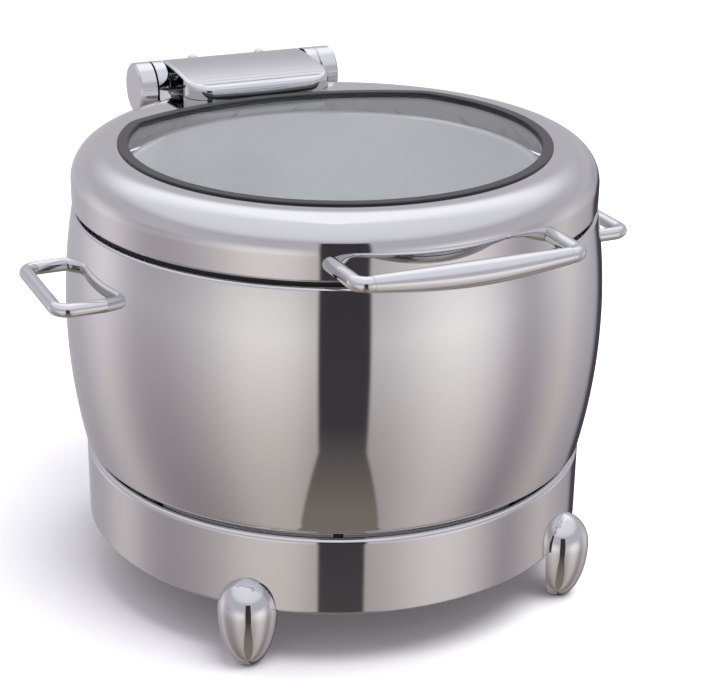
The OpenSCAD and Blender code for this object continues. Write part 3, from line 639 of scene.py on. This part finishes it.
def rubber_frame(name, inset, width, low, high, edge):
    """A ring of rubber that follows the window, with rounded edges."""
    piece = draw_line(name, window_outline(inset, low))
    pick_all()
    bpy.ops.mesh.edge_face_add()
    bpy.ops.mesh.inset(thickness=width * MM)
    bpy.ops.mesh.delete(type="FACE")
    pick_all()
    extrude(0, 0, high - low)
    close_seams()
    start_clean()
    apply_modifier(piece, "BEVEL", width=edge * MM, segments=4, limit_method="ANGLE",
                   angle_limit=math.radians(60))
    face_out(piece)
    return piece


LIP_W, LIP_EDGE, HEEL_INSET, HEEL_EDGE = 8, 0.9, 4.2, 0.5
lip = rubber_frame("glass_gasket_black", 0, LIP_W, lid_top - 0.6, gasket_high.z, LIP_EDGE)
heel = rubber_frame("gasket_heel", HEEL_INSET, LIP_W - HEEL_INSET, gasket_low.z,
                    lid_top - 0.4, HEEL_EDGE)
join_into(lip, heel)
smooth(lip)
finish_with(lip, RUBBER)
hand_over(lip, "lid", "black_rubber", "glass_gasket")

# %% [markdown]
# ## Bent rods
# The handles are bent from round rod. A circle is extruded along the straight runs, and Spin
# turns it round each bend, which keeps the rod exactly round.

# %% Bending a rod
ROD_SIDES = 32


def start_rod(name, place, turn, radius):
    """A circle at the rod's start, facing along its first run."""
    start_clean()
    bpy.ops.mesh.primitive_circle_add(vertices=ROD_SIDES, radius=radius * MM,
                                      fill_type="NGON", location=Vector(place) * MM,
                                      rotation=[math.radians(a) for a in turn])
    piece = bpy.context.object
    piece.name = piece.data.name = name
    bpy.ops.object.transform_apply(location=True, rotation=True)
    edit(piece)
    pick_all()
    return piece


def bend_rod(centre, turn, steps=12):
    """Spins the rod's end round a point in plan."""
    bpy.ops.mesh.spin(steps=steps, angle=math.radians(turn), center=Vector(centre) * MM,
                      axis=(0, 0, 1))


def finish_rod(piece, material):
    close_seams()
    start_clean()
    face_out(piece)
    smooth(piece, 40)
    finish_with(piece, material)


# %% The side handles
ROD_R, SIDE_HALF, SIDE_BEND = 5, 46, 10
handle_low, handle_high = node_box("side_handle_right")
grip_x = handle_high.x - ROD_R
handle_z = (handle_low.z + handle_high.z) / 2
start_x = 190           # inside the wall, so that the rod leaves it without a gap
for side_name, sign in (("right", 1), ("left", -1)):
    rod = start_rod(f"side_handle_{side_name}_polished", (sign * start_x, SIDE_HALF, handle_z),
                    (0, 90, 0), ROD_R)
    extrude(sign * (grip_x - SIDE_BEND - start_x), 0, 0)
    bend_rod((sign * (grip_x - SIDE_BEND), SIDE_HALF - SIDE_BEND, handle_z), 90 * sign)
    extrude(0, -2 * (SIDE_HALF - SIDE_BEND), 0)
    bend_rod((sign * (grip_x - SIDE_BEND), SIDE_BEND - SIDE_HALF, handle_z), 90 * sign)
    extrude(-sign * (grip_x - SIDE_BEND - start_x), 0, 0)
    finish_rod(rod, CAST_MIRROR)
    hand_over(rod, "kettle", "mirror_steel", f"side_handle_{side_name}")

# %% [markdown]
# ## The lid handle
# Two bent arms carry a thicker grip. The grip's upper edge is straight and its underside
# bellies out, so each cut across it is a circle that grows downwards from the same line.

# %% The lid handle's arms
ARM_R, GRIP_HALF, GRIP_BEND, GRIP_MID_R = 5.3, 80, 8, 8.6
GRIP_REACH, ROOT_DEPTH = 25.3, 3
_, arm_high = node_box("lid_handle_arm_right")
_, grip_high = node_box("lid_handle_grip")
lid_grip_z = arm_high.z - ARM_R
grip_y = -(lid_r + GRIP_REACH)
joint_x = grip_high.x
root_y = -math.sqrt(lid_r ** 2 - GRIP_HALF ** 2) + ROOT_DEPTH
for side_name, sign in (("right", 1), ("left", -1)):
    rod = start_rod(f"lid_handle_arm_{side_name}_polished",
                    (sign * GRIP_HALF, root_y, lid_grip_z), (90, 0, 0), ARM_R)
    extrude(0, grip_y + GRIP_BEND - root_y, 0)
    bend_rod((sign * (GRIP_HALF - GRIP_BEND), grip_y + GRIP_BEND, lid_grip_z), 90 * sign)
    extrude(-sign * (GRIP_HALF - GRIP_BEND - joint_x), 0, 0)
    finish_rod(rod, CAST_MIRROR)
    hand_over(rod, "lid", "mirror_steel", f"lid_handle_arm_{side_name}")

# %% The grip
GRIP_RINGS = 48
END_R = ARM_R + 0.4
grip = start_rod("lid_handle_grip_polished", (-joint_x, grip_y, lid_grip_z), (0, 90, 0), END_R)
for i in range(GRIP_RINGS):
    extrude(2 * joint_x / GRIP_RINGS, 0, 0)
for i in range(1, GRIP_RINGS):
    x = joint_x * (2 * i / GRIP_RINGS - 1)
    radius = END_R + (GRIP_MID_R - END_R) * math.sin(math.pi * i / GRIP_RINGS)
    choose(lambda middle: abs(middle.x - x) < 0.5)
    bpy.ops.transform.resize(value=(1, radius / END_R, radius / END_R),
                             center_override=Vector((x, grip_y, lid_grip_z + END_R)) * MM)
finish_rod(grip, CAST_MIRROR)
apply_modifier(grip, "BEVEL", width=0.5 * MM, segments=2, limit_method="ANGLE",
               angle_limit=math.radians(60))
smooth(grip, 40)
hand_over(grip, "lid", "mirror_steel", "lid_handle_grip")

# %% [markdown]
# ## The hinge
# Caps, ears, collars and tube are rings turned about the hinge pin, with a fine chamfer at
# each end: it is the chamfers that draw the thin seam lines between them.

# %% Rings turned about the hinge pin
BARREL_R, TUBE_R, TUBE_BORE, PIN_R, BUSH_R = 20.5, 19, 15, 5, 7.1
CAP_CHAMFER = 1.6
cap_low, cap_high = node_box("end_cap_right")
ear_out, cap_end = cap_low.x, cap_high.x
_, collar_high = node_box("friction_collars")
_, barrel_high = node_box("lid_barrel")
barrel_half, collar_in = collar_high.x, barrel_high.x


def pin_ring(name, start, end, outer, inner, chamfer=0.5):
    """A chamfered ring round the hinge axis, from one x to another."""
    section = [(start, inner), (start, outer - chamfer), (start + chamfer, outer),
               (end - chamfer, outer), (end, outer - chamfer), (end, inner)]
    piece = draw_line(name, [(x, HINGE_Y, HINGE_Z + r) for x, r in section])
    pick_all()
    if inner:
        bpy.ops.mesh.edge_face_add()
        bpy.ops.mesh.delete(type="ONLY_FACE")
    pick_all()
    bpy.ops.mesh.spin(steps=128, angle=ALL_ROUND, axis=(1, 0, 0),
                      center=Vector((0, HINGE_Y, HINGE_Z)) * MM)
    close_seams()
    start_clean()
    face_out(piece)
    return piece


def joined(name, pieces, material):
    """Several closed shells as one piece."""
    join_into(*pieces)
    pieces[0].name = pieces[0].data.name = name
    smooth(pieces[0])
    finish_with(pieces[0], material)
    return pieces[0]


def mirrored_rings(name, near_x, far_x, outer, inner):
    """The same ring at both ends of the hinge."""
    return [pin_ring(name, *sorted((sign * near_x, sign * far_x)), outer, inner)
            for sign in (-1, 1)]


# %% The caps, collars and tube
for side_name, sign in (("left", -1), ("right", 1)):
    ends = sorted((sign * ear_out, sign * cap_end))
    cap = joined(f"end_cap_{side_name}_polished",
                 [pin_ring("cap", *ends, BARREL_R, 0, CAP_CHAMFER)], CAST_MIRROR)
    hand_over(cap, "kettle", "mirror_steel", f"end_cap_{side_name}")
collars = joined("friction_collars_polished",
                 mirrored_rings("collar", collar_in, barrel_half, TUBE_R, PIN_R + 0.1),
                 CAST_MIRROR)
hand_over(collars, "lid", "mirror_steel", "friction_collars")
tube = joined("lid_barrel_polished",
              [pin_ring("tube", -collar_in, collar_in, TUBE_R, TUBE_BORE)], CAST_MIRROR)
hand_over(tube, "lid", "mirror_steel", "lid_barrel")

# %% [markdown]
# ## The hinge cover
# The tongue over the hinge is one thin polished skin. Its side view, round over the tube and
# then slightly domed, is extruded across, and a plan with two round corners trims it. The
# whole upper edge is then rolled over in one bevel, because a rolled edge is what draws the
# bright rim. It is hollowed last, and its sides are open so that the collars show.

# %% The cover's side view and plan
cover_low, cover_high = node_box("hinge_cover")
COVER_HALF, COVER_CORNER, LIP_HEIGHT = cover_high.x, 22, 10
COVER_SKIN, LIP_WALL, ROLL = 1.4, 2.0, 4.0
PLAN_DEPTH, PLAN_HEIGHT, SPARE = 120, 80, 5
front_y = cover_low.y


def cover_prism(name, inset, half):
    """The cover's side view, in from its skin by an inset, run from -half to half."""
    arc_steps, dome_steps = 22, 12
    radius = BARREL_R - inset
    reach, drop = HINGE_Y - front_y, HINGE_Z + BARREL_R - lid_top - LIP_HEIGHT
    under = lid_top + 0.3 - 3 * inset
    rear = math.acos((under - HINGE_Z) / radius)
    angles = [rear * (1 - i / arc_steps) for i in range(arc_steps + 1)]
    view = [(HINGE_Y + radius * math.sin(a), HINGE_Z + radius * math.cos(a)) for a in angles]
    for i in range(1, dome_steps + 1):
        ahead = (reach - inset) * i / dome_steps
        view.append((HINGE_Y - ahead, HINGE_Z + radius - drop * (ahead / reach) ** 2))
    view.append((front_y + inset, under))
    piece = draw_line(name, [(-half, y, z) for y, z in view])
    pick_all()
    bpy.ops.mesh.edge_face_add()
    extrude(2 * half, 0, 0)
    close_seams()
    start_clean()
    return piece


def trim_to_plan(piece, half, front, corner):
    """Keeps what lies behind a front line and between two sides, with round corners."""
    bpy.ops.mesh.primitive_cube_add(
        size=1, location=Vector((0, front + PLAN_DEPTH / 2, lid_top)) * MM)
    plan = bpy.context.object
    plan.dimensions = Vector((2 * half, PLAN_DEPTH, PLAN_HEIGHT)) * MM
    bpy.ops.object.transform_apply(location=True, rotation=True, scale=True)
    if corner:
        edit(plan)
        choose(lambda m: abs(m.y - front) < 0.1 and abs(abs(m.x) - half) < 0.1
               and abs(m.z - lid_top) < 1, "EDGE")
        bpy.ops.mesh.bevel(offset=corner * MM, segments=24, affect="EDGES")
    start_clean()
    apply_modifier(piece, "BOOLEAN", operation="INTERSECT", object=plan, solver="EXACT")
    bpy.data.objects.remove(plan)


# %% The cover
cover = cover_prism("hinge_cover_polished", 0, COVER_HALF + SPARE)
trim_to_plan(cover, COVER_HALF, front_y, COVER_CORNER)


def on_upper_outline(middle):
    """Where the cover's top meets its sides and its front."""
    if middle.z < lid_top + (LIP_HEIGHT - 3 if middle.y < HINGE_Y - 10 else 0.5):
        return False
    over = max(abs(middle.x) - (COVER_HALF - COVER_CORNER), 0)
    ahead = max(front_y + COVER_CORNER - middle.y, 0)
    return math.hypot(over, ahead) > COVER_CORNER - 0.4


edit(cover)
pick_all()
bpy.ops.mesh.remove_doubles(threshold=0.01 * MM)
choose(on_upper_outline, "EDGE")
bpy.ops.mesh.bevel(offset=ROLL * MM, segments=6, affect="EDGES", clamp_overlap=False)
start_clean()
front_hollow = cover_prism("front_hollow", COVER_SKIN, COVER_HALF + SPARE)
trim_to_plan(front_hollow, COVER_HALF - LIP_WALL, front_y + LIP_WALL,
             COVER_CORNER - LIP_WALL)
side_hollow = cover_prism("side_hollow", COVER_SKIN, COVER_HALF + SPARE)
trim_to_plan(side_hollow, COVER_HALF + 3, front_y + COVER_CORNER, 0)
for hollow in (front_hollow, side_hollow):
    apply_modifier(cover, "BOOLEAN", operation="DIFFERENCE", object=hollow, solver="EXACT")
    bpy.data.objects.remove(hollow)
smooth(cover, 30)
finish_with(cover, MIRROR)
hand_over(cover, "lid", "mirror_steel", "hinge_cover")

# %% [markdown]
# ## The small pieces
# Their exact shapes are right as they are, but they arrive as loose flat triangles. A copy of
# each is merged and its flat areas are joined. The bracket and the lid's arm also get the small
# radius that polishing leaves on their edges, so that they catch the light.

# %% Smoothed copies
def smooth_copy(node, body, slot, material, edge=0.0):
    """A merged and softly shaded copy of a CAD node."""
    start_clean()
    source = frame["nodes"][node]
    source.select_set(True)
    bpy.context.view_layer.objects.active = source
    bpy.ops.object.duplicate()
    piece = bpy.context.object
    piece.parent = None
    for key in list(piece.keys()):
        if key.startswith("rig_"):
            del piece[key]
    piece.name = piece.data.name = node + "_finished"
    edit(piece)
    pick_all()
    bpy.ops.mesh.remove_doubles(threshold=0.001 * MM)
    bpy.ops.mesh.dissolve_limited(angle_limit=math.radians(0.3))
    start_clean()
    if edge:
        apply_modifier(piece, "BEVEL", width=edge * MM, segments=3, limit_method="ANGLE",
                       angle_limit=math.radians(50))
    smooth(piece, 40)
    finish_with(piece, material)
    return hand_over(piece, body, slot, node)


SMALL_PIECES = [
    ("hinge_bracket", "kettle", "mirror_steel", CAST_MIRROR, 0.6),
    ("bracket_screws", "kettle", "fastener_steel", TURNED, 0.0),
    ("cover_screws", "lid", "mirror_steel", CAST_MIRROR, 0.0),
    ("lid_arm", "lid", "fastener_steel", TURNED, 0.4),
    ("lid_liner", "lid", "satin_steel", SATIN, 0.0),
    ("ledge_ring", "stand", "satin_steel", SATIN, 0.0),
    ("rim_seal", "kettle", "black_rubber", RUBBER, 0.0),
]
for small in SMALL_PIECES:
    smooth_copy(*small)

# %% The bracket's round eyes, turned clean over the copy's own
bracket = bpy.data.objects["hinge_bracket_finished"]
EYE_GAP, EYE_PROUD = 0.5, 0.02
eyes = mirrored_rings("eye", barrel_half + EYE_GAP, ear_out, BARREL_R + EYE_PROUD, BUSH_R)
for eye in eyes:
    finish_with(eye, CAST_MIRROR)
join_into(bracket, *eyes)
smooth(bracket, 40)

# %% [markdown]
# ## Floor, light and camera
# A polished kettle shows the studio itself, so the light is mostly what it mirrors: two large
# soft panels at the front with a dark gap between them, a pale room behind and above.
# The panels are painted on the world by direction. The floor is plain and pale.

# %% The floor
start_clean()
bpy.ops.mesh.primitive_plane_add(size=60)
floor = bpy.context.object
floor.name = "floor"
finish_with(floor, new_material("matt_white_board", "F6F6F6", 0.0, 0.8)[0])
floor.visible_glossy = False    # the metal mirrors the painted room, not the board
print("floor", [round(v) for v in floor.dimensions[:2]], "m")

# %% Nodes for the painted room
DEGREES = 57.2958       # in one radian
world = bpy.data.worlds.new("studio")
bpy.context.scene.world = world
world.use_nodes = True
room = world.node_tree
room.nodes.clear()


def maths(operation, *values, clamp=False):
    """One Math node in the room's tree."""
    node = room.nodes.new("ShaderNodeMath")
    node.operation, node.use_clamp = operation, clamp
    for i, value in enumerate(values):
        if isinstance(value, bpy.types.NodeSocket):
            room.links.new(value, node.inputs[i])
        else:
            node.inputs[i].default_value = value
    return node.outputs[0]


def blend_colours(factor, below, above, kind="MIX"):
    """Mixes two colours in the room's tree."""
    node = room.nodes.new("ShaderNodeMix")
    node.data_type, node.blend_type = "RGBA", kind
    for index, value in ((0, factor), (6, below), (7, above)):
        if isinstance(value, bpy.types.NodeSocket):
            room.links.new(value, node.inputs[index])
        else:
            node.inputs[index].default_value = value
    return node.outputs[2]


def soft_step(value, start, end):
    """Rises from 0 to 1 between two values."""
    node = add_node(room, "ShaderNodeMapRange", {"interpolation_type": "SMOOTHSTEP"},
                    _0=value, _1=start, _2=end, _3=0.0, _4=1.0)
    return node.outputs["Result"]


towards = add_node(room, "ShaderNodeTexCoord").outputs["Generated"]
axes = add_node(room, "ShaderNodeSeparateXYZ", Vector=towards)
# bearing in degrees from the front (-Y), positive to the right; height above the horizon
bearing = maths("MULTIPLY", maths("ARCTAN2", axes.outputs["X"],
                                  maths("MULTIPLY", axes.outputs["Y"], -1)), DEGREES)
height = maths("MULTIPLY", maths("ARCSINE", axes.outputs["Z"]), DEGREES)

# %% What stands round the kettle
# what stands round the kettle, just below the horizon
AROUND = [(-180, "A8A5AC"), (-158, "A9A6AD"), (-142, "CAC6C8"), (-130, "C8C3C6"),
          (-118, "A8A3A8"), (-105, "9C979C"), (-90, "A39EA2"), (-75, "B8B4B5"),
          (-62, "D2CDCA"), (-50, "D4CFCC"), (-40, "CEC9C6"), (-31, "B4AFAD"),
          (-13, "ACA8A8"), (0, "B8B4B5"), (12, "CECACA"), (24, "DDD9D8"), (36, "DAD6D6"),
          (48, "C4BFC2"), (60, "9A959B"), (72, "A29EA3"), (88, "C7C2C2"), (100, "B6B1B4"),
          (118, "9C9AA2"), (130, "8F8C94"), (150, "B4B1B8"), (180, "A8A5AC")]
around = ramp(room, maths("DIVIDE", maths("ADD", bearing, 180), 360),
              [((a + 180) / 360, colour) for a, colour in AROUND], "B_SPLINE")
# it fades towards the floor
FADE = [(-90, "A8A4A2"), (-60, "BCB6B3"), (-50, "C8C2C0"), (-40, "CFCAC9"),
        (-30, "DDD9D8"), (-20, "EFECEC"), (-10, "FFFFFF"), (0, "F4F4F6")]
fade = ramp(room, maths("DIVIDE", maths("ADD", height, 90), 90),
            [((h + 90) / 90, colour) for h, colour in FADE])
low_room = blend_colours(1.0, around, fade, "MULTIPLY")
# a dark doorway low down behind on the right, which outlines the metal's far edge
doorway = maths("MULTIPLY", soft_step(bearing, 120, 130), soft_step(bearing, 152, 142))
doorway = maths("MULTIPLY", doorway, soft_step(height, -6, -14))
low_room = blend_colours(doorway, low_room, linear("3A383C"))

# %% The room above
ABOVE = [(0, "A9A6AC"), (12, "A5A2A8"), (27, "A3A0A8"), (38, "C2C0C8"), (52, "C8C7D0"),
         (70, "CBCAD2"), (90, "D0CFD6")]
above = ramp(room, maths("DIVIDE", height, 90), [(h / 90, colour) for h, colour in ABOVE])
behind = maths("MULTIPLY", soft_step(maths("ABSOLUTE", maths("ADD", bearing, 24)), 100, 165),
               soft_step(height, 15, 45))
above = blend_colours(behind, above, linear("EAE8EE"))
painted = blend_colours(soft_step(height, -4, 10), low_room, above)

# %% The dark gap between the panels, wider and browner towards the floor
off_centre = maths("ABSOLUTE", maths("ADD", bearing, 19.5))
spread = maths("MULTIPLY", maths("MAXIMUM", maths("SUBTRACT", -34, height), 0), 0.62)
edge = maths("SUBTRACT", off_centre, spread)
in_gap = maths("MULTIPLY", maths("SUBTRACT", 1, soft_step(edge, 9.5, 11.5)),
               maths("SUBTRACT", 1, soft_step(height, 25, 28)))
GAP = [(-90, "70685F"), (-62, "6F6861"), (-48, "69625C"), (-38, "55504D"), (-28, "363437"),
       (20, "302E31"), (90, "302E31")]
gap = ramp(room, maths("DIVIDE", maths("ADD", height, 90), 180),
           [((h + 90) / 180, colour) for h, colour in GAP])
painted = blend_colours(in_gap, painted, gap)

# %% The room lights the kettle, and plain white stands behind it
ROOM_LIGHT = 1.52       # the panels are brighter than their image in the steel
lit = add_node(room, "ShaderNodeBackground", Color=painted, Strength=ROOM_LIGHT)
plain = add_node(room, "ShaderNodeBackground", Color=linear("FAFAFA"), Strength=1.0)
seen = add_node(room, "ShaderNodeLightPath").outputs["Is Camera Ray"]
choice = add_node(room, "ShaderNodeMixShader", _0=seen, _1=lit.outputs[0],
                  _2=plain.outputs[0])
add_node(room, "ShaderNodeOutputWorld", Surface=choice.outputs[0])

# %% One large soft lamp for what isn't metal
LAMP_PLACE, LAMP_AIM, LAMP_WIDTH, LAMP_WATTS = (0.5, -0.6, 2.6), (0, 0, 0.1), 2.2, 80
start_clean()
bpy.ops.object.light_add(type="AREA", location=LAMP_PLACE)
lamp = bpy.context.object
lamp.name = "overhead_softbox"
lamp.data.shape, lamp.data.size = "DISK", LAMP_WIDTH
lamp.data.energy = LAMP_WATTS
lamp.visible_glossy = False
lamp.rotation_euler = (Vector(LAMP_AIM) - lamp.location).to_track_quat("-Z", "Y").to_euler()
print("lamp", LAMP_WATTS, "W,", LAMP_WIDTH, "m across")

# %% The camera
CAMERA_BEARING, CAMERA_TILT, CAMERA_ROLL = -24.0, 22.35, 0.57
DISTANCE, AIM_Z = 1.394, 0.1644
LENS, SENSOR, SHIFT_X = 93.72, 36, 0.0245
bpy.ops.object.camera_add()
camera = bpy.context.object
bearing_r, tilt_r = math.radians(CAMERA_BEARING), math.radians(CAMERA_TILT)
back = Vector((math.sin(bearing_r) * math.cos(tilt_r), -math.cos(bearing_r) * math.cos(tilt_r),
               math.sin(tilt_r)))
camera.location = Vector((0, 0, AIM_Z)) + DISTANCE * back
turn = back.to_track_quat("Z", "Y").to_matrix().to_4x4()
camera.matrix_world = (Matrix.Translation(camera.location) @ turn
                       @ Matrix.Rotation(math.radians(CAMERA_ROLL), 4, "Z"))
camera.data.lens, camera.data.sensor_width = LENS, SENSOR
camera.data.shift_x = SHIFT_X
camera.data.clip_end = 100
bpy.context.scene.camera = camera
bpy.context.scene.cycles.glossy_bounces = 12   # the light goes deep into the pot
bpy.context.scene.view_settings.view_transform = "Standard"
print("camera", DISTANCE, "m away, tilted down", CAMERA_TILT, "degrees")
